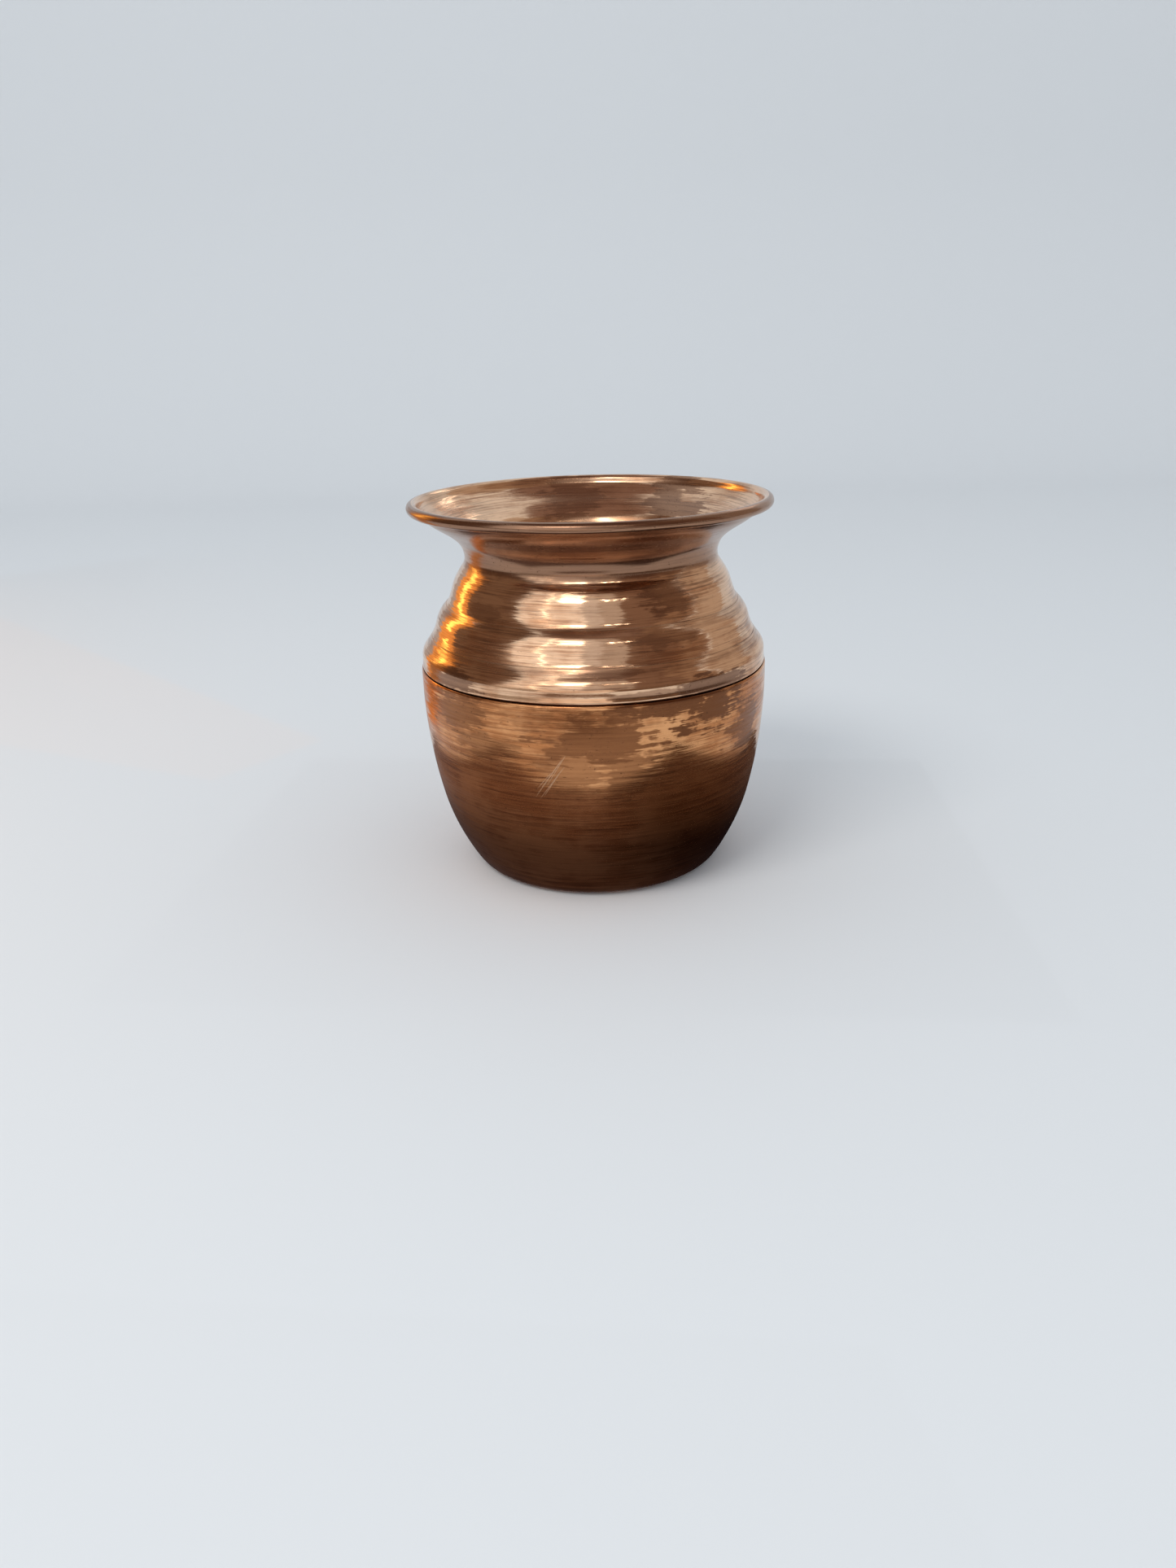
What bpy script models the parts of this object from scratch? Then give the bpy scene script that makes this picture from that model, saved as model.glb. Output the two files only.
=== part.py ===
"""A spun copper kalash pot (lota).

The pot is two thin turned shells. The upper shell is the mouth, the neck and the ribbed shoulder;
its edge is rolled over a wire and its skirt slips inside the bowl. The bowl is the belly and the
base. A ring of filler metal inside the pot holds the two together.

Outlines are (radius, height) pairs in millimetres. The pot stands on Z = 0 about the Z axis.
"""

from math import cos, hypot, radians, sin, tau

import bmesh
import bpy

MM = 0.001

# Sheet, fits and the fineness of the turning.
SHEET = 0.7
CLEARANCE = 0.35
SIDES = 48
ARC_STEP = radians(11)
LONGEST_FACET = 6.0
CURL_STEP = radians(23)
SMOOTH_ANGLE = radians(30)
WELD = 0.00001

# Mouth: a bead rolled outward and down over a wire.
HEIGHT = 117.6
RIM_RADIUS = 56.5
BEAD = 3.5
BEAD_CENTRE = (RIM_RADIUS - BEAD / 2, HEIGHT - BEAD / 2)
CURL_FACE = BEAD / 2 - SHEET
CURL_END = radians(-100)
WIRE_RADIUS = 0.62
WIRE_STEP = radians(45)
LIP_TURN = radians(53)
LIP_BEND = 2.35

# Neck: the flare runs straight down from the lip, then hollows into the waist.
WAIST = (39.5, 100.2)
FLARE_BEND = 8.2
NECK_FOOT = (40.5, 97.5)
NECK_TURN = radians(38)

# Shoulder: three rounded ribs that swell in turn, with hollow grooves between them.
FIRST_RIB = (44.66, 88.7)
FIRST_RIB_TURN = radians(26)
FIRST_GROOVE = (46.8, 85.25)
FIRST_GROOVE_TURN = radians(36)
SECOND_RIB = (49.7, 79.6)
SECOND_RIB_TURN = radians(36)
SECOND_GROOVE = (53.3, 73.2)
SECOND_GROOVE_TURN = radians(24)
THIRD_RIB = (54.5, 69.4)
THIRD_RIB_TURN = radians(52)
BELLY_RADIUS = 55.0
SEAM_HEIGHT = 66.5
SHOULDER_EDGE_INSET = 0.15
SHOULDER_EDGE = (BELLY_RADIUS - SHOULDER_EDGE_INSET, SEAM_HEIGHT)
SHOULDER_EDGE_TURN = radians(22)

# Lap joint: the skirt stands inside the top of the bowl.
SKIRT_RADIUS = BELLY_RADIUS - SHEET - CLEARANCE
SKIRT_END = 60.8
FILLET_WIDTH = 1.05
FILLET_HEIGHT = 1.5
FILLET_TURN = radians(60)

# Bowl: an almost upright belly that closes in to a small standing ring with a raised centre.
BOWL_LIP = SEAM_HEIGHT - CLEARANCE
BELLY_TOP = 62.7
BELLY_LOW = (51.3, 28.0)
HEEL = (41.2, 3.2)
RING_OUTER = 36.0
RING_INNER = 28.5
DISH_RADIUS = 25.0
DISH_HEIGHT = 1.3
BELLY_TURN = radians(12.8)
LOWER_BELLY_TURN = radians(22)
HEEL_TURN = radians(55)
DISH_TURN = radians(25)


def arc_about(centre, radius, start, end, step):
    """Points on a circle about a centre, from one angle to another, both included."""
    count = max(1, round(abs(end - start) / step))
    angles = [start + (end - start) * index / count for index in range(count + 1)]
    return [(centre[0] + radius * cos(angle), centre[1] + radius * sin(angle)) for angle in angles]


def bend(start, end, turn):
    """Points after the start of an arc that reaches the end while it turns by an angle.

    The path runs down the outside of the pot. A positive turn swells outward, a negative one is hollow.
    """
    across, along = end[0] - start[0], end[1] - start[1]
    count = 1
    if turn:
        count = max(round(abs(turn) / ARC_STEP), round(hypot(across, along) / LONGEST_FACET))
    points = []
    for index in range(1, count + 1):
        part = index / count
        reach = sin(turn * part / 2) / sin(turn / 2) if turn else part
        swing = turn * (1 - part) / 2
        points.append((start[0] + reach * (across * cos(swing) - along * sin(swing)),
                       start[1] + reach * (along * cos(swing) + across * sin(swing))))
    return points


def follow(start, *bends):
    """A path that passes through a start and then through the end of each bend."""
    path = [start]
    for end, turn in bends:
        path += bend(path[-1], end, turn)
    return path


def sheet(face):
    """The two faces of a sheet whose outer face follows a path: the outer, and the inner in reverse."""
    inner = []
    for index, (radius, height) in enumerate(face):
        before = face[max(index - 1, 0)]
        after = face[min(index + 1, len(face) - 1)]
        normals = []
        for (r0, z0), (r1, z1) in ((before, (radius, height)), ((radius, height), after)):
            length = hypot(r1 - r0, z1 - z0)
            if length > 0:
                normals.append(((z1 - z0) / length, (r0 - r1) / length))
        mitre_r = sum(normal[0] for normal in normals)
        mitre_z = sum(normal[1] for normal in normals)
        reach = SHEET * len(normals) / (mitre_r ** 2 + mitre_z ** 2)
        inner.append((radius + mitre_r * reach, height + mitre_z * reach))
    return face + inner[::-1]


def metal(name, colour, roughness):
    """A bare metal of one colour."""
    material = bpy.data.materials.new(name)
    material.use_nodes = True
    surface = material.node_tree.nodes["Principled BSDF"]
    surface.inputs["Base Color"].default_value = (*colour, 1.0)
    surface.inputs["Metallic"].default_value = 1.0
    surface.inputs["Roughness"].default_value = roughness
    return material


def turned(name, outline, material, closed=True):
    """A solid of revolution from an outline, which is closed or has both its ends on the axis."""
    solid = bmesh.new()
    corners = [solid.verts.new((radius * MM, 0, height * MM)) for radius, height in outline]
    following = corners[1:] + corners[:1] if closed else corners[1:]
    edges = [solid.edges.new(pair) for pair in zip(corners, following)]
    bmesh.ops.spin(solid, geom=corners + edges, axis=(0, 0, 1), cent=(0, 0, 0), angle=tau,
                   steps=SIDES, use_merge=True)
    bmesh.ops.remove_doubles(solid, verts=solid.verts, dist=WELD)
    bmesh.ops.recalc_face_normals(solid, faces=solid.faces)
    mesh = bpy.data.meshes.new(name)
    solid.to_mesh(mesh)
    solid.free()
    mesh.shade_smooth()
    mesh.set_sharp_from_angle(angle=SMOOTH_ANGLE)
    mesh.materials.append(material)
    piece = bpy.data.objects.new(name, mesh)
    bpy.context.scene.collection.objects.link(piece)
    return piece


def upper_shell(material):
    """Rolled bead, flared mouth, neck, three shoulder ribs and the skirt, from one spun sheet."""
    curl = arc_about(BEAD_CENTRE, CURL_FACE, CURL_END, tau / 2, CURL_STEP)
    lip_centre = (BEAD_CENTRE[0] - CURL_FACE - LIP_BEND, BEAD_CENTRE[1])
    lip = arc_about(lip_centre, LIP_BEND, 0, -LIP_TURN, CURL_STEP)[1:]
    flare_end = (WAIST[0] + FLARE_BEND * (1 - cos(LIP_TURN)), WAIST[1] + FLARE_BEND * sin(LIP_TURN))
    body = follow(flare_end,
                  (WAIST, -LIP_TURN),
                  (NECK_FOOT, -NECK_TURN),
                  (FIRST_RIB, FIRST_RIB_TURN),
                  (FIRST_GROOVE, -FIRST_GROOVE_TURN),
                  (SECOND_RIB, SECOND_RIB_TURN),
                  (SECOND_GROOVE, -SECOND_GROOVE_TURN),
                  (THIRD_RIB, THIRD_RIB_TURN),
                  (SHOULDER_EDGE, -SHOULDER_EDGE_TURN),
                  ((SKIRT_RADIUS, SEAM_HEIGHT), 0),
                  ((SKIRT_RADIUS, SKIRT_END), 0))
    return turned("upper_shell", sheet(curl + lip + body), material)


def lower_shell(material):
    """The bowl: its lip under the third rib, the belly, the heel, the standing ring and the dish."""
    face = follow((BELLY_RADIUS, BOWL_LIP),
                  ((BELLY_RADIUS, BELLY_TOP), 0),
                  (BELLY_LOW, BELLY_TURN),
                  (HEEL, LOWER_BELLY_TURN),
                  ((RING_OUTER, 0), HEEL_TURN),
                  ((RING_INNER, 0), 0),
                  ((DISH_RADIUS, DISH_HEIGHT), -DISH_TURN))
    face.append((0, DISH_HEIGHT))
    both = sheet(face)
    from_axis_to_axis = both[len(face):] + both[:len(face)]
    return turned("lower_shell", from_axis_to_axis, material, closed=False)


def seam_filler(material):
    """The filler metal run into the corner between the end of the skirt and the bowl."""
    top = SKIRT_END - CLEARANCE
    corner = (SKIRT_RADIUS, top)
    foot = (SKIRT_RADIUS, top - FILLET_HEIGHT)
    inner = (SKIRT_RADIUS - FILLET_WIDTH, top)
    return turned("seam_filler", [corner] + follow(inner, (foot, -FILLET_TURN)), material)


def rim_wire(material):
    """The round wire that the rim is rolled over."""
    section = arc_about(BEAD_CENTRE, WIRE_RADIUS, 0, tau - WIRE_STEP, WIRE_STEP)
    return turned("rim_wire", section, material)


def main():
    for old in list(bpy.data.objects):
        bpy.data.objects.remove(old)
    upper_shell(metal("polished_copper", (0.72, 0.40, 0.26), 0.16))
    lower_shell(metal("brushed_copper", (0.62, 0.34, 0.22), 0.28))
    seam_filler(metal("filler_brass", (0.66, 0.50, 0.24), 0.4))
    rim_wire(metal("wire_copper", (0.45, 0.24, 0.16), 0.35))


main()
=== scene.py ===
"""The looks of a spun copper kalash pot: fine turned shells, worn and tarnished copper, and a studio."""

from math import cos, pi, radians, sin, tau

import bmesh
import bpy
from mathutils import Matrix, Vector


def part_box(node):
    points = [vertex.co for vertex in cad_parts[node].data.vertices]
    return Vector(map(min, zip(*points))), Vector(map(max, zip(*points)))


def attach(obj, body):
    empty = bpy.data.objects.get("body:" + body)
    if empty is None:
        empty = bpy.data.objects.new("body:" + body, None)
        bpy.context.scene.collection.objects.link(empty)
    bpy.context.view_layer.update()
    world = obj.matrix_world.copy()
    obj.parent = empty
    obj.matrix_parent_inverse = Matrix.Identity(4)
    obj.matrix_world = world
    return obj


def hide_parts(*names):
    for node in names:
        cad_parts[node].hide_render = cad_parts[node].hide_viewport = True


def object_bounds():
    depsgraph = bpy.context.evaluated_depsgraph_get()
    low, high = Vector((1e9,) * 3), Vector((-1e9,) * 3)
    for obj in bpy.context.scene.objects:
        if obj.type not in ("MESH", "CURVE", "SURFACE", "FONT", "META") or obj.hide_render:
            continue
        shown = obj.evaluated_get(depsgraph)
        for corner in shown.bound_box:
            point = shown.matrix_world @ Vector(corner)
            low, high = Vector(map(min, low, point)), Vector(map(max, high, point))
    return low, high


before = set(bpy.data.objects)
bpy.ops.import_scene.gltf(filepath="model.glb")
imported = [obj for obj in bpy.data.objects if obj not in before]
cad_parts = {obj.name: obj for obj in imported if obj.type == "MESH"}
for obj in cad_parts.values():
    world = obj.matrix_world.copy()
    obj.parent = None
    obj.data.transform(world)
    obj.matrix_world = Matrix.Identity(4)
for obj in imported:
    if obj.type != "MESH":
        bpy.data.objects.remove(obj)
CAD_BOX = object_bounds()

MM = 0.001
TOUCH = 0.000002

# Fineness of the turned meshes.
SIDES = 288
FINE_STEP = 0.35 * MM
SHARP_CORNER = radians(30)
CORNER_SOFTENING = 5

# The radius at which distances round the pot are measured, and the pot's size, in millimetres.
BELLY_REACH = 54.0
RIM = CAD_BOX[1][0] / MM
MOUTH = CAD_BOX[1][2] / MM

# The bowl's lip is drawn up towards the shoulder, so that the joint shows as a hairline.
LIP_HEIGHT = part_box("lower_shell")[1][2]
LIP_RISE = 0.29 * MM
LIP_DEPTH = 1.5 * MM

# Hand-spun unevenness, as shallow inward ripples of the sheet that fade towards the base. Each ripple:
# waves round the pot, twist with height, offset and share.
RIPPLE_DEPTH = 0.10 * MM
RIPPLE_HEIGHT = 9 * MM
RIPPLE_START = 10 * MM
RIPPLES = ((2, 0.0, 0.7, 0.45), (3, 0.6, 0.0, 0.25), (7, -1.0, 0.0, 0.15), (12, 1.9, 0.0, 0.06))

# The camera, in the pot's frame.
CAMERA_PLACE = (-2.8 * MM, -383.3 * MM, 167.2 * MM)
CAMERA_PITCH = radians(20.7)
CAMERA_ROLL = radians(-1.5)
CAMERA_LENS = 28.0
CAMERA_SENSOR = 36.0
CAMERA_NEAREST = 0.01


# ---------------------------------------------------------------- turned meshes

def half_section(node):
    """The outline of a turned node in the half-plane Y = 0, X >= 0, walked from its highest point."""
    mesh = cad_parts[node].data
    places = {}
    for vertex in mesh.vertices:
        if abs(vertex.co.y) < TOUCH and vertex.co.x > -TOUCH:
            places[vertex.index] = (round(max(vertex.co.x, 0) / TOUCH), round(vertex.co.z / TOUCH))
    following = {}
    for edge in mesh.edges:
        ends = [places.get(index) for index in edge.vertices]
        if None not in ends and ends[0] != ends[1]:
            following.setdefault(ends[0], set()).add(ends[1])
            following.setdefault(ends[1], set()).add(ends[0])
    loose = sorted(place for place, others in following.items() if len(others) == 1)
    start = max(loose or following, key=lambda place: place[1])
    walk = [start]
    while True:
        ahead = [place for place in sorted(following[walk[-1]]) if place not in walk]
        if not ahead:
            break
        walk.append(ahead[0])
    return [Vector((r * TOUCH, z * TOUCH)) for r, z in walk], not loose


def corner_angle(before, here, after):
    """How far the outline turns at a point."""
    return (here - before).angle(after - here, 0.0)


def curve_through(points, closed):
    """The outline with its gentle bends drawn as smooth curves and its sharp corners just eased."""
    count = len(points)

    def at(index):
        return points[index % count] if closed else points[min(max(index, 0), count - 1)]

    def tangent(index):
        ends = not closed and index in (0, count - 1)
        if ends or corner_angle(at(index - 1), at(index), at(index + 1)) > SHARP_CORNER:
            return None
        before, after = at(index) - at(index - 1), at(index + 1) - at(index)
        return (before.normalized() * after.length + after.normalized() * before.length).normalized()

    fine = []
    for index in range(count if closed else count - 1):
        start, end = at(index), at(index + 1)
        span = end - start
        leave, arrive = tangent(index), tangent((index + 1) % count if closed else index + 1)
        if leave is None and arrive is None:
            leave = arrive = span.normalized()
        elif leave is None:
            leave = mirrored(arrive, span)
        elif arrive is None:
            arrive = mirrored(leave, span)
        steps = max(2, round(span.length / FINE_STEP))
        for step in range(steps):
            part = step / steps
            fine.append(start * (1 + 2 * part) * (1 - part) ** 2
                        + leave * span.length * part * (1 - part) ** 2
                        + end * part ** 2 * (3 - 2 * part)
                        - arrive * span.length * part ** 2 * (1 - part))
    if not closed:
        fine.append(points[-1])
    lowest = min(point.y for point in points)
    for _ in range(CORNER_SOFTENING):
        fine = [eased(fine, index, closed) for index in range(len(fine))]
    return [Vector((max(point.x, 0), max(point.y, lowest))) for point in fine]


def mirrored(direction, span):
    """The direction at the far end of a circular arc that starts in a direction and spans a chord."""
    along = span.normalized()
    return (2 * direction.dot(along) * along - direction).normalized()


def eased(points, index, closed):
    """A point moved a quarter of the way to the middle of its neighbours."""
    if not closed and index in (0, len(points) - 1):
        return points[index]
    before, after = points[index - 1], points[(index + 1) % len(points)]
    return points[index] * 0.5 + (before + after) * 0.25


def ripple(angle, height):
    """Inward movement of the sheet at a place: broad, shallow and never outward."""
    phase = height / RIPPLE_HEIGHT
    waves = sum(share * sin(count * angle + twist * phase + offset)
                for count, twist, offset, share in RIPPLES)
    return RIPPLE_DEPTH * (waves - 1) / 2 * min(1, height / RIPPLE_START)


def turned(name, node, materials, lip_rise=0.0):
    """A fine solid of revolution that takes a node's place and a slot's finish.

    Its outer faces take the first of the materials, its inner ones the last.
    """
    outline, closed = half_section(node)
    if closed and outline[1].x > outline[-1].x:
        outline = outline[:1] + outline[:0:-1]
    fine = curve_through(outline, closed)
    fine = [Vector((point.x, point.y + lip_rise * max(0.0, 1 - (LIP_HEIGHT - point.y) / LIP_DEPTH)))
            for point in fine]
    solid = bmesh.new()
    rings = []
    for point in fine:
        if point.x < TOUCH:
            rings.append([solid.verts.new((0, 0, point.y))])
            continue
        ring = []
        for side in range(SIDES):
            angle = tau * side / SIDES
            radius = point.x + ripple(angle, point.y)
            ring.append(solid.verts.new((radius * cos(angle), radius * sin(angle), point.y)))
        rings.append(ring)
    turn_back = inside_until(fine, closed)
    ahead = rings[1:] + rings[:1] if closed else rings[1:]
    for number, (ring, following) in enumerate(zip(rings, ahead)):
        join_rings(solid, ring, following, len(materials) - 1 if number < turn_back else 0)
    bmesh.ops.recalc_face_normals(solid, faces=solid.faces)
    mesh = bpy.data.meshes.new(name)
    solid.to_mesh(mesh)
    solid.free()
    mesh.shade_smooth()
    for material in materials:
        mesh.materials.append(material)
    piece = bpy.data.objects.new(name, mesh)
    bpy.context.scene.collection.objects.link(piece)
    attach(piece, "root")
    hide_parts(node)


def inside_until(fine, closed):
    """The number of steps from an outline's start that lie inside the pot."""
    if closed:
        return min(range(len(fine)), key=lambda index: fine[index].y)
    return max(range(len(fine)), key=lambda index: fine[index].y)


def join_rings(solid, ring, following, material_index):
    """Faces between two rings, either of which may be a single point on the axis."""
    for side in range(SIDES):
        after = (side + 1) % SIDES
        corners = [ring[side % len(ring)], ring[after % len(ring)],
                   following[after % len(following)], following[side % len(following)]]
        face = solid.faces.new(list(dict.fromkeys(corners)))
        face.material_index = material_index
        face.smooth = True


# ---------------------------------------------------------------- shader maths

# Turned patterns: grains to a millimetre across the turning and along it, detail, roughness and seed.
GRAINS = {
    "fine": (2.6, 0.05, 2.0, 0.55, 3.0),
    "coarse": (0.8, 0.018, 3.0, 0.55, 11.0),
    "blotch": (0.05, 0.05, 4.0, 0.6, 29.0),
    "drawn": (0.5, 0.05, 4.0, 0.65, 41.0),
    "specks": (1.1, 0.9, 2.0, 0.7, 57.0),
    "dashes": (1.9, 0.28, 2.0, 0.6, 71.0),
    "sway": (1.5, 0.08, 3.0, 0.7, 83.0),
    "lines": (1.3, 0.035, 3.0, 0.75, 97.0),
    "ragged": (0.9, 0.06, 3.0, 0.7, 113.0),
    "torn": (0.16, 0.12, 3.0, 0.65, 127.0),
    "hairs": (2.2, 0.05, 2.0, 0.8, 139.0),
}

# The level that noise wavers about, and the levels between which each kind of mark comes to show.
NOISE_MIDDLE = 0.5
SHOWN = {"specks": (0.64, 0.72), "dashes": (0.66, 0.74), "lines": (0.46, 0.60), "hairs": (0.52, 0.66)}

# Where a stain's broken edge begins and ends, as parts of its size, and a scratch's full-depth core.
PATCH_EDGE = (0.72, 1.05)
SCRATCH_CORE = 0.3


class Value:
    """A shader socket that Python expressions add Math nodes to."""

    def __init__(self, nodes, socket):
        self.nodes = nodes
        self.socket = socket

    def math(self, operation, *others):
        """A Math node on this value and others."""
        return self.nodes.add("ShaderNodeMath", {"operation": operation}, [self, *others])

    def __add__(self, other):
        return self.math("ADD", other)

    def __radd__(self, other):
        return self.math("ADD", other)

    def __sub__(self, other):
        return self.math("SUBTRACT", other)

    def __rsub__(self, other):
        return self.nodes.add("ShaderNodeMath", {"operation": "SUBTRACT"}, [other, self])

    def __mul__(self, other):
        return self.math("MULTIPLY", other)

    def __rmul__(self, other):
        return self.math("MULTIPLY", other)

    def __truediv__(self, other):
        return self.math("DIVIDE", other)

    def __pow__(self, other):
        return self.math("POWER", other)

    def most(self, other):
        """The greater of two values."""
        return self.math("MAXIMUM", other)

    def clamped(self):
        """The value held between 0 and 1."""
        return self.nodes.add("ShaderNodeClamp", {}, {"Value": self})

    def between(self, low, high):
        """0 below the low value, 1 above the high one, and smooth in between."""
        return self.nodes.add("ShaderNodeMapRange", {"interpolation_type": "SMOOTHSTEP"},
                              {"Value": self, "From Min": low, "From Max": high})


class Nodes:
    """One material's node tree."""

    def __init__(self, name):
        self.material = bpy.data.materials.new(name)
        self.material.use_nodes = True
        self.tree = self.material.node_tree
        self.surface = self.tree.nodes["Principled BSDF"]

    def add(self, kind, settings, sockets, output=0):
        """A node of any type: its settings first, then the values or links of its sockets."""
        node = self.tree.nodes.new(kind)
        for name, value in settings.items():
            setattr(node, name, value)
        pairs = enumerate(sockets) if isinstance(sockets, list) else sockets.items()
        for key, value in pairs:
            if isinstance(value, Value):
                self.tree.links.new(value.socket, node.inputs[key])
            else:
                node.inputs[key].default_value = value
        return Value(self, node.outputs[output])

    def mix(self, factor, first, second):
        """A colour between two colours, by the Mix node's colour sockets."""
        ends = [colour if isinstance(colour, Value) else (*colour, 1.0) for colour in (first, second)]
        return self.add("ShaderNodeMix", {"data_type": "RGBA"}, {0: factor, 6: ends[0], 7: ends[1]}, 2)

    def vector(self, operation, sockets):
        """A Vector Math node."""
        return self.add("ShaderNodeVectorMath", {"operation": operation}, sockets)

    def feed(self, name, value):
        """Link or set one socket of the surface."""
        if isinstance(value, Value):
            self.tree.links.new(value.socket, self.surface.inputs[name])
        else:
            self.surface.inputs[name].default_value = value


class Turning(Nodes):
    """Materials of turned metal, whose patterns run round the axis. Lengths are in millimetres."""

    def __init__(self, name):
        super().__init__(name)
        place = self.add("ShaderNodeTexCoord", {}, [], "Object")
        self.x, self.y, self.z = (self.add("ShaderNodeSeparateXYZ", {}, [place], axis) * (1 / MM)
                                  for axis in "XYZ")
        self.radius = (self.x * self.x + self.y * self.y) ** 0.5
        self.around = self.x.math("ARCTAN2", 0 - self.y) * BELLY_REACH

    def grain(self, pattern):
        """Noise of one of the patterns in GRAINS."""
        across, along, detail, rough, seed = GRAINS[pattern]
        place = self.add("ShaderNodeCombineXYZ", {},
                         [self.radius * across + seed, self.z * across + seed, self.x * along])
        return self.add("ShaderNodeTexNoise", {"noise_dimensions": "4D"},
                        {"Vector": place, "W": self.y * along + seed, "Scale": 1.0,
                         "Detail": detail, "Roughness": rough})

    def band(self, height, width):
        """1 at a height on the axis, falling to 0 at a distance from it."""
        return 1 - (self.z - height).math("ABSOLUTE").between(0.0, width)

    def patch(self, around, height, half_width, half_height, edge):
        """1 in a rounded patch centred so far round from the front, with its edge broken by noise."""
        half_round = pi * BELLY_REACH
        across = self.add("ShaderNodeMath", {"operation": "WRAP"},
                          [self.around - around, half_round, -half_round]) / half_width
        upward = (self.z - height) / half_height
        reach = (across * across + upward * upward) ** 0.5
        return 1 - (reach + edge).between(*PATCH_EDGE)

    def scratch(self, start, end, width):
        """1 along a straight scratch between two (distance round, height) points, thinning at its ends."""
        run, rise = end[0] - start[0], end[1] - start[1]
        length = run * run + rise * rise
        part = ((self.around - start[0]) * (run / length) + (self.z - start[1]) * (rise / length)).clamped()
        side = self.around - start[0] - part * run
        over = self.z - start[1] - part * rise
        reach = (side * side + over * over) ** 0.5
        taper = (part * (1 - part) * 4) ** 0.5
        return (1 - reach.between(width * SCRATCH_CORE, width)) * taper

    def wavering_normal(self, amount):
        """The surface's normal, swung from side to side a little by each turning line."""
        normal = self.add("ShaderNodeNewGeometry", {}, [], "Normal")
        side = self.vector("NORMALIZE", [self.vector("CROSS_PRODUCT", [(0.0, 0.0, 1.0), normal])])
        swing = (self.grain("sway") - NOISE_MIDDLE) * amount
        sway = self.vector("SCALE", {0: side, "Scale": swing})
        return self.vector("NORMALIZE", [self.vector("ADD", [normal, sway])])


# ---------------------------------------------------------------- copper

# Clean, worn, stained and smoky brown copper: on the polished shell and on the duller bowl.
# The smoky brown also paints dark reflections on the front of the flare and in the grooves.
POLISHED_TONES = ((0.93, 0.60, 0.385), (0.66, 0.345, 0.19), (0.36, 0.165, 0.085), (0.26, 0.145, 0.095))
BRUSHED_TONES = ((0.86, 0.42, 0.185), (0.62, 0.25, 0.095), (0.33, 0.118, 0.046), (0.225, 0.088, 0.038))
DIRT = (0.09, 0.042, 0.024)

# How far turned lines stretch a highlight across them.
TURNING_STRETCH = 0.45


def copper(name, tones, marks, shine, haze, tarnish_level, line_depth, waver, creases=()):
    """Bare spun copper: turning lines, brown tarnish drawn out along them, specks and dirty creases.

    Shine is the clean metal's roughness and haze is what full tarnish adds to it. Tarnish grows between
    two levels of noise. Line depth is in millimetres. Waver is how far the turning swings the normal.
    """
    clean, worn, stain, brown = tones
    metal = Turning(name)
    fine, coarse, blotch, drawn = (metal.grain(name) for name in ("fine", "coarse", "blotch", "drawn"))
    specks, dashes, lines, hairs = (metal.grain(name).between(*levels) for name, levels in SHOWN.items())
    tarnish = (blotch * 0.62 + drawn * 0.38 + (fine - NOISE_MIDDLE) * 0.15).between(*tarnish_level)
    dirt = (specks * 0.55).most(dashes * 0.6)
    for height, width in creases:
        dirt = dirt.most(metal.band(height, width) * (coarse * 0.8 + 0.45))
    edge = (metal.grain("ragged") - NOISE_MIDDLE) * 2.6 + (metal.grain("torn") - NOISE_MIDDLE) * 2.4
    # Smoky brown from the marks; on the shoulder it also paints dark reflections on the flare and in the
    # grooves.
    stains_and_painted_reflection, scratches = marks(metal, edge)
    tarnish = tarnish.most(stains_and_painted_reflection)
    scratches = (scratches * (fine * 1.2 + 0.1)).clamped()
    worn_through = blotch.between(0.34, 0.60)
    colour = metal.mix(tarnish, clean, worn)
    for strength, tone in ((coarse.between(0.50, 0.72) * 0.5 * tarnish, stain),
                           (lines * worn_through * 0.62, stain),
                           (hairs * (0.2 + 0.45 * worn_through), brown),
                           (stains_and_painted_reflection * (0.62 + 0.5 * coarse), brown),
                           (dirt * (0.35 + 0.65 * tarnish), DIRT),
                           (scratches, POLISHED_TONES[0])):
        colour = metal.mix(strength.clamped(), colour, tone)
    rough = shine + tarnish * haze + (fine - NOISE_MIDDLE) * 0.08 + dirt * 0.25 + scratches * 0.35
    metal.feed("Base Color", colour)
    metal.feed("Metallic", 1.0)
    metal.feed("Roughness", rough.clamped())
    metal.feed("Anisotropic", TURNING_STRETCH)
    relief = fine * 0.5 + coarse * 0.9 + drawn * 0.25
    metal.feed("Normal", metal.add("ShaderNodeBump", {}, {"Strength": 1.0, "Distance": line_depth * MM,
                                                          "Height": relief,
                                                          "Normal": metal.wavering_normal(waver)}))
    return metal.material


def patches(metal, places, edge):
    """The strongest of several ragged patches at any point."""
    strongest = 0.0
    for around, height, half_width, half_height, depth in places:
        patch = metal.patch(around, height, half_width, half_height, edge) * depth
        strongest = patch.most(strongest)
    return strongest


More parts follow.
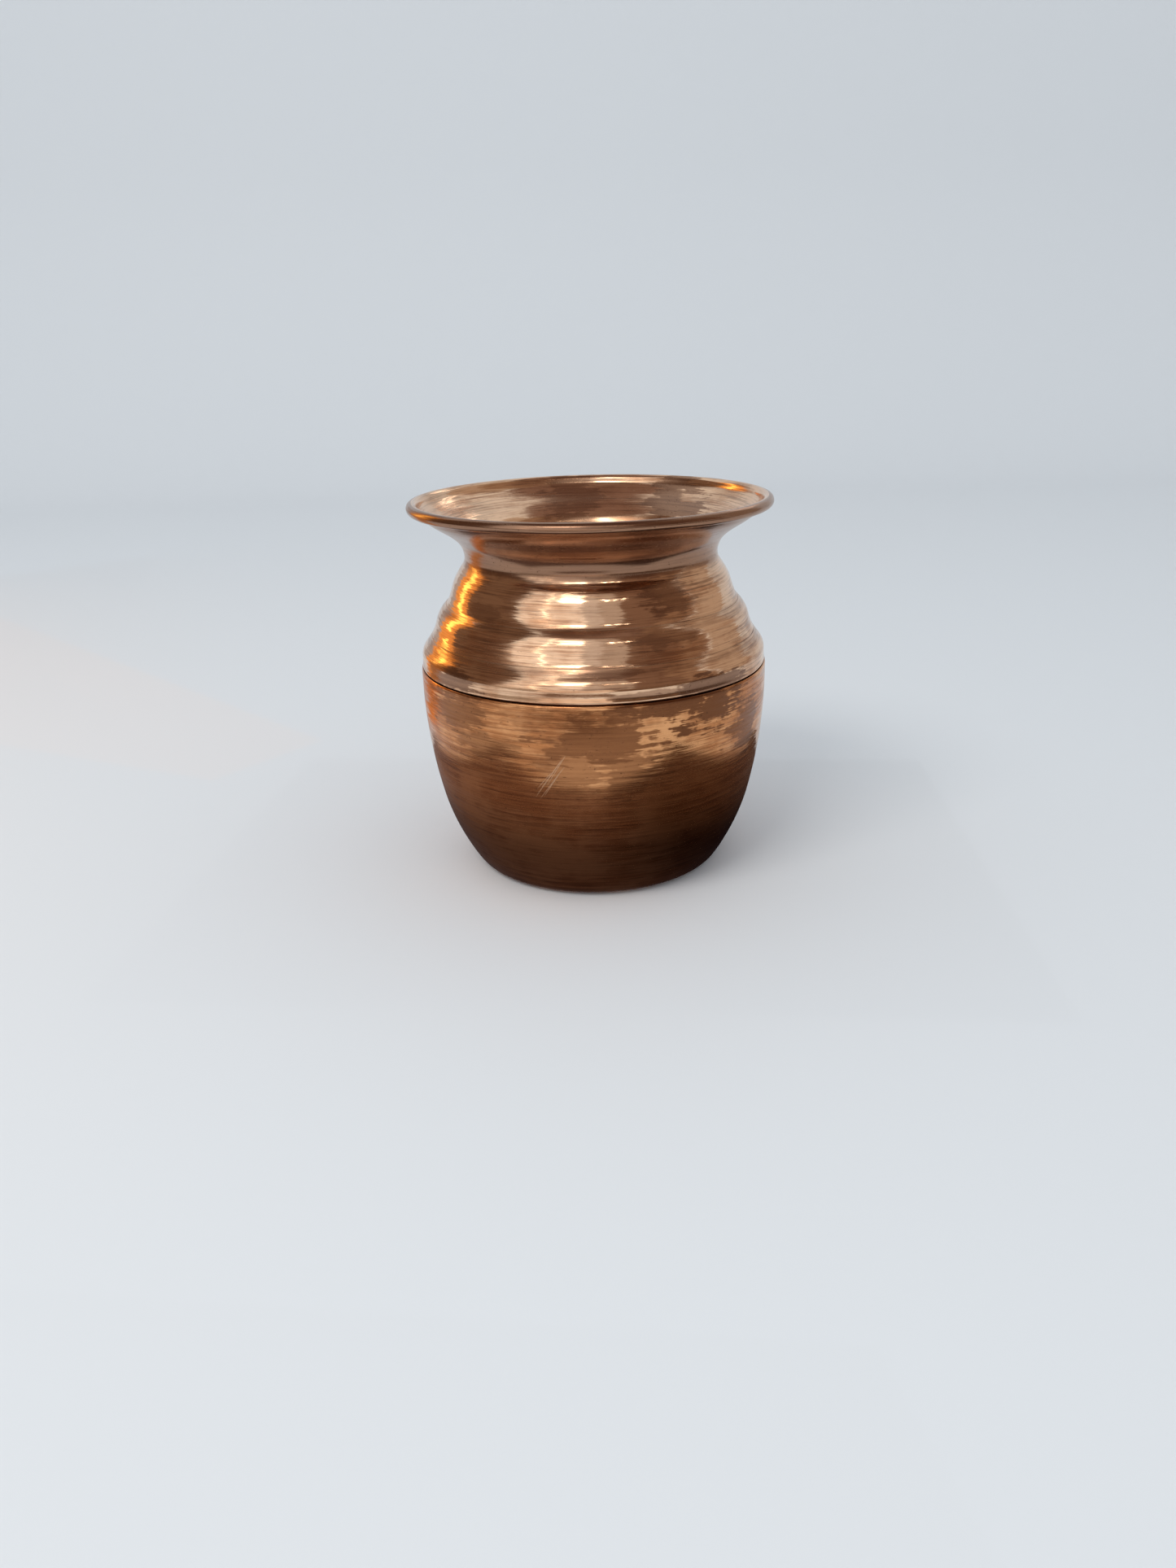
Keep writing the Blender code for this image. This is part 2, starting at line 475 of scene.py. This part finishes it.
def shoulder_marks(metal, edge):
    """Painted dark reflection under the flare, strongest at the front, and in the grooves, drawn as smoky
    brown; smoky brown on the bead, and stains on the ribs.
    """
    # Painted dark reflection on the front of the flare, fading round its sides; the bead's smoky brown is
    # tarnish.
    flare = (metal.z + edge * 1.6).between(*FLARE_DARK_REFLECTION_FOOT)
    ends = metal.around.math("ABSOLUTE").between(*FLARE_DARK_REFLECTION_SIDES)
    bead = metal.radius.between(*BEAD_INNER_EDGE) * metal.z.between(*BEAD_FOOT)
    stains_and_painted_reflection = (flare * (0.9 - 0.45 * ends)).most(bead * 0.8)
    # Painted dark reflection: smoky brown bands in the grooves under the first two ribs.
    for height, width, depth in PAINTED_GROOVE_REFLECTIONS:
        stains_and_painted_reflection = stains_and_painted_reflection.most(metal.band(height, width) * (depth - edge * 0.5))
    return stains_and_painted_reflection.most(patches(metal, SHOULDER_STAINS, edge)), 0.0


def belly_marks(metal, edge):
    """Stains and scratches on the bowl."""
    scratches = 0.0
    for start, end, width in BELLY_SCRATCHES:
        scratches = metal.scratch(start, end, width).most(scratches)
    return patches(metal, BELLY_STAINS, edge), scratches


def mouth_marks(metal, edge):
    """Stains inside the mouth."""
    return patches(metal, MOUTH_STAINS, edge), 0.0


# Where the painted dark reflection, drawn as smoky brown, fades in: heights at the foot of the flare,
# distances round towards its sides where it fades again; and the radii and heights of the bead, whose smoky
# brown is tarnish.
FLARE_DARK_REFLECTION_FOOT = (97.4, 100.0)
FLARE_DARK_REFLECTION_SIDES = (48.0, 82.0)
BEAD_INNER_EDGE = (RIM - 3.6, RIM - 3.0)
BEAD_FOOT = (MOUTH - 4.2, MOUTH - 3.6)

# Painted dark reflections in the hollows under the first two ribs, drawn as smoky brown bands: height, half
# width and depth.
PAINTED_GROOVE_REFLECTIONS = ((84.9, 1.7, 0.35), (75.0, 1.7, 0.30))

# Thin dirty lines round the shoulder and at the joint: height and half width.
SHOULDER_CREASES = ((86.0, 0.25), (76.2, 0.25), (66.6, 0.25))

# Stains: distance round from the front, height, half width, half height and depth.
SHOULDER_STAINS = (
    (28.0, 93.0, 12.0, 5.0, 0.7),
    (-44.0, 88.0, 9.0, 4.5, 0.4),
    (3.0, 75.4, 14.0, 1.6, 0.6),
    (24.0, 82.5, 13.0, 2.6, 0.5),
    (38.0, 68.6, 15.0, 2.6, 0.95),
    (-48.0, 69.5, 14.0, 3.6, 0.9),
    (16.0, 68.6, 15.0, 1.2, 0.5),
)
BELLY_STAINS = (
    (24.0, 64.5, 15.0, 4.0, 1.2),
    (36.0, 61.5, 14.0, 6.5, 1.5),
    (53.0, 52.0, 9.0, 9.0, 0.95),
    (0.0, 56.5, 17.0, 8.0, 0.9),
    (-6.0, 47.0, 13.0, 8.0, 0.5),
    (10.0, 46.0, 12.0, 7.0, 0.6),
    (-46.0, 60.5, 15.0, 6.0, 0.8),
    (-35.0, 52.0, 11.0, 5.0, 0.6),
    (-20.0, 62.0, 9.0, 4.0, 0.45),
)
MOUTH_STAINS = (
    (-164.0, 111.0, 11.0, 9.0, 0.5),
    (128.0, 108.0, 16.0, 3.4, 0.8),
    (136.0, 111.0, 10.0, 7.0, 0.75),
)

# Scratches on the front of the bowl: (distance round it from the front, height) of both ends, and width.
BELLY_SCRATCHES = (
    ((-19.0, 37.4), (-10.0, 50.3), 0.20),
    ((-17.6, 37.0), (-9.4, 48.0), 0.14),
    ((-16.2, 38.0), (-10.6, 46.5), 0.16),
    ((-18.0, 40.5), (-13.4, 46.0), 0.12),
    ((-14.8, 42.0), (-9.0, 51.5), 0.12),
)


# ---------------------------------------------------------------- studio

BLACK = (0.0, 0.0, 0.0, 1.0)

# The floor runs from its front edge to the sweep that carries it up into the wall.
PAPER = (0.80, 0.81, 0.82)
FLOOR_FRONT = -2.5
FLOOR_HALF_WIDTH = 2.2
SWEEP_START = 0.9
SWEEP_RADIUS = 0.35
SWEEP_STEPS = 24
WALL_TOP = 1.6

# The even light of the room, and the soft key light: place, target, size, power and colour.
ROOM_COLOUR = (0.88, 0.94, 1.0, 1.0)
ROOM_STRENGTH = 0.78
KEY = ((-0.5, -0.7, 1.0), (0, 0, 0.06), (0.6, 0.4), 5.0, (1.0, 0.98, 0.95))


def plain(name, colour, roughness):
    """A plain matt surface."""
    nodes = Nodes(name)
    nodes.feed("Base Color", (*colour, 1.0))
    nodes.feed("Roughness", roughness)
    return nodes.material


def stage_piece(name, points, faces, material):
    """A piece of the stage from points and faces."""
    mesh = bpy.data.meshes.new(name)
    mesh.from_pydata(points, [], faces)
    mesh.shade_smooth()
    mesh.materials.append(material)
    piece = bpy.data.objects.new(name, mesh)
    bpy.context.scene.collection.objects.link(piece)
    return piece


def floor():
    """A pale floor that sweeps up into a pale wall behind the pot."""
    outline = [(FLOOR_FRONT, 0.0)]
    for step in range(SWEEP_STEPS + 1):
        angle = pi / 2 * step / SWEEP_STEPS
        outline.append((SWEEP_START + SWEEP_RADIUS * sin(angle), SWEEP_RADIUS * (1 - cos(angle))))
    outline.append((SWEEP_START + SWEEP_RADIUS, WALL_TOP))
    points = [(x, y, z) for x in (-FLOOR_HALF_WIDTH, FLOOR_HALF_WIDTH) for y, z in outline]
    count = len(outline)
    faces = [(count + index, count + index + 1, index + 1, index) for index in range(count - 1)]
    stage_piece("floor", points, faces, plain("studio_paper", PAPER, 0.7))


def glowing(nodes, colour, strength=1.0):
    """A surface that gives off light and mirrors nothing."""
    nodes.feed("Base Color", BLACK)
    nodes.feed("Specular IOR Level", 0.0)
    nodes.feed("Emission Color", colour)
    nodes.feed("Emission Strength", strength)
    return nodes.material


def metal_only(name, points, faces, material):
    """A stage piece that is hidden from everything but reflections."""
    piece = stage_piece(name, points, faces, material)
    piece.visible_camera = False
    piece.visible_diffuse = False
    piece.visible_shadow = False
    piece.visible_transmission = False


def panel(name, azimuths, elevations, distance, colour, strength):
    """A curved panel round the pot that only the metal mirrors. Azimuth 0 is the front, 90 the right."""
    across = max(2, round((azimuths[1] - azimuths[0]) / PANEL_STEP) + 1)
    upward = max(2, round((elevations[1] - elevations[0]) / PANEL_STEP) + 1)
    points = []
    for row in range(upward):
        up = radians(elevations[0] + (elevations[1] - elevations[0]) * row / (upward - 1))
        for column in range(across):
            around = radians(azimuths[0] + (azimuths[1] - azimuths[0]) * column / (across - 1))
            points.append((distance * sin(around) * cos(up), -distance * cos(around) * cos(up),
                           PANEL_CENTRE + distance * sin(up)))
    faces = [(row * across + column, row * across + column + 1,
              (row + 1) * across + column + 1, (row + 1) * across + column)
             for row in range(upward - 1) for column in range(across - 1)]
    metal_only(name, points, faces, glowing(Nodes(name + "_light"), (*colour, 1.0), strength))


# Panels stand round a point on the axis at this height, in facets of about so many degrees.
PANEL_CENTRE = 0.075
PANEL_STEP = 6

# Panels that the metal mirrors: azimuths and elevations in degrees, distance, colour and strength.
PANELS = {
    "window": ((-60, -8), (0, 57), 3.0, (0.96, 0.98, 1.0), 1.05),
    "skylight": ((-29, -8), (36, 52), 2.9, (1.0, 0.97, 0.92), 4.6),
    "tube": ((-40, -37), (0, 57), 2.9, (1.0, 0.97, 0.90), 2.6),
    "doorway": ((-8, 6), (0, 57), 3.0, (0.58, 0.57, 0.58), 1.0),
    "passage": ((6, 24), (0, 57), 3.0, (0.44, 0.40, 0.38), 1.0),
    "lamp_a": ((10, 13), (40, 43.5), 2.9, (1.0, 0.96, 0.88), 8.0),
    "lamp_b": ((18, 20.5), (40, 42.5), 2.9, (1.0, 0.96, 0.88), 6.0),
    "lamp_c": ((26, 28.5), (40, 42.5), 2.9, (1.0, 0.96, 0.88), 6.0),
    "dark_right": ((24, 62), (0, 64), 3.0, (0.19, 0.125, 0.095), 1.0),
    "dark_right_low": ((20, 88), (-9, 0), 0.45, (0.15, 0.10, 0.07), 1.0),
    "pale_front_low": ((-34, 10), (-9, 1), 0.46, (0.82, 0.74, 0.68), 1.0),
    "dark_front_low": ((10, 20), (-9, 1), 0.46, (0.17, 0.115, 0.085), 1.0),
    "grey_front_low": ((-64, -34), (-9, 0), 0.45, (0.40, 0.37, 0.34), 1.0),
    "brown_right": ((62, 88), (0, 64), 3.0, (0.27, 0.19, 0.14), 1.0),
    "grey_right": ((88, 122), (-6, 60), 0.7, (0.43, 0.37, 0.32), 1.0),
    "dark_left": ((-114, -62), (-6, 58), 0.7, (0.16, 0.105, 0.075), 1.0),
    "warm_glow": ((-139, -114), (-6, 34), 0.7, (0.90, 0.40, 0.11), 1.0),
    "warm_lamp": ((-129, -122), (2, 30), 0.69, (1.0, 0.60, 0.15), 3.0),
    "grey_left": ((-150, -139), (-6, 40), 0.7, (0.42, 0.40, 0.40), 1.0),
    "strip_a": ((128, 164), (35.0, 36.4), 0.8, (1.0, 0.98, 0.93), 3.5),
    "strip_b": ((128, 164), (30.4, 31.6), 0.8, (1.0, 0.98, 0.93), 3.5),
    "ceiling_front": ((-60, 60), (56, 90), 2.0, (0.22, 0.155, 0.13), 1.0),
    "ceiling_back": ((60, 300), (62, 90), 2.0, (0.20, 0.135, 0.115), 1.0),
}

# Pieces that lie just above the floor where only the metal mirrors them: the dark board under the pot, a
# painted pool of warm lamplight on the floor beyond it, and the dark edge of the table in front of it.
BOARD_HEIGHT = 0.0004
BOARD = ((-0.141, -0.096), (0.120, -0.119), (0.130, 0.077), (-0.118, 0.098))
AROUND_BOARD_HEIGHT = 0.0003
# A glowing sheet that paints a pool of warm lamplight on the floor beyond the board.
LAMPLIT_FLOOR = ((-0.153, 0.075), (-0.620, 0.302), (-0.480, 0.496), (-0.118, 0.122))
LAMPLIGHT_POOL_COLOUR = (0.75, 0.33, 0.10, 1.0)
APRON = ((-0.125, -0.20), (0.045, -0.22), (0.062, -0.30), (-0.160, -0.285))
APRON_COLOUR = (0.20, 0.135, 0.10, 1.0)

# The board's colours near the pot, with a painted shadow, and away from it, on its lit left and on its
# right, with painted shade, and the distances in millimetres over which they change outward and rightward.
BOARD_LIT = ((0.062, 0.048, 0.050), (0.20, 0.155, 0.15))
BOARD_SHADE_SIDE = ((0.009, 0.006, 0.007), (0.085, 0.058, 0.048))
BOARD_SHADOW_FALLOFF = (48.0, 105.0)
BOARD_SHADE_FALLOFF = (-15.0, 50.0)


def board():
    """The board's material, with a painted shadow under the pot and painted shade towards the right."""
    nodes = Turning("board_light")
    # Painted shadow under the pot and painted shade on the right, in the board's glow.
    outward = nodes.radius.between(*BOARD_SHADOW_FALLOFF)
    lit, dark = nodes.mix(outward, *BOARD_LIT), nodes.mix(outward, *BOARD_SHADE_SIDE)
    return glowing(nodes, nodes.mix(nodes.x.between(*BOARD_SHADE_FALLOFF), lit, dark))


def mirrored_floor():
    """The board, the painted pool of warm lamplight on the floor, and the apron."""
    # Painted pool of warm lamplight on the floor, glowing orange.
    lamplight_pool = glowing(Nodes("lamplight_pool_light"), LAMPLIGHT_POOL_COLOUR)
    apron = glowing(Nodes("apron_light"), APRON_COLOUR)
    for name, corners, height, material in (("board", BOARD, BOARD_HEIGHT, board()),
                                            ("lamplight_pool", LAMPLIT_FLOOR, AROUND_BOARD_HEIGHT, lamplight_pool),
                                            ("apron", APRON, AROUND_BOARD_HEIGHT, apron)):
        metal_only(name, [(x, y, height) for x, y in corners], [(0, 1, 2, 3)], material)


def lamp(name, place, target, size, power, colour):
    """A soft rectangular studio light."""
    light = bpy.data.lights.new(name, "AREA")
    light.shape = "RECTANGLE"
    light.size, light.size_y = size
    light.energy = power
    light.color = colour
    piece = bpy.data.objects.new(name, light)
    bpy.context.scene.collection.objects.link(piece)
    piece.location = place
    piece.rotation_mode = "QUATERNION"
    piece.rotation_quaternion = (Vector(place) - Vector(target)).to_track_quat("Z", "Y")
    piece.visible_glossy = False


def studio():
    """Even pale surroundings, one soft key light, and what the metal mirrors."""
    world = bpy.data.worlds.new("studio")
    bpy.context.scene.world = world
    world.use_nodes = True
    background = world.node_tree.nodes["Background"]
    background.inputs["Color"].default_value = ROOM_COLOUR
    background.inputs["Strength"].default_value = ROOM_STRENGTH
    lamp("key", *KEY)
    for name, described in PANELS.items():
        panel(name, *described)
    mirrored_floor()
    bpy.context.scene.view_settings.view_transform = "Standard"


def camera():
    """The camera: a little above the rim, looking down on the pot."""
    lens = bpy.data.cameras.new("camera")
    lens.lens = CAMERA_LENS
    lens.sensor_width = CAMERA_SENSOR
    lens.sensor_fit = "AUTO"
    lens.clip_start = CAMERA_NEAREST
    piece = bpy.data.objects.new("camera", lens)
    bpy.context.scene.collection.objects.link(piece)
    piece.location = CAMERA_PLACE
    piece.rotation_mode = "ZYX"
    piece.rotation_euler = (pi / 2 - CAMERA_PITCH, 0.0, CAMERA_ROLL)
    bpy.context.scene.camera = piece


# ---------------------------------------------------------------- the pot

def main():
    bright = copper("polished_copper", POLISHED_TONES, shoulder_marks, shine=0.09, haze=0.12,
                    tarnish_level=(0.47, 0.64), line_depth=0.018, waver=0.22, creases=SHOULDER_CREASES)
    satin = copper("brushed_copper", BRUSHED_TONES, belly_marks, shine=0.13, haze=0.12,
                   tarnish_level=(0.42, 0.60), line_depth=0.026, waver=0.5)
    inner = copper("inner_copper", POLISHED_TONES, mouth_marks, shine=0.13, haze=0.16,
                   tarnish_level=(0.48, 0.66), line_depth=0.022, waver=0.20)
    turned("mouth_and_shoulder", "upper_shell", (bright, inner))
    turned("bowl", "lower_shell", (satin, inner), LIP_RISE)
    turned("seam_solder", "seam_filler", (inner,))
    turned("wire_in_rim", "rim_wire", (inner,))
    floor()
    studio()
    camera()


main()
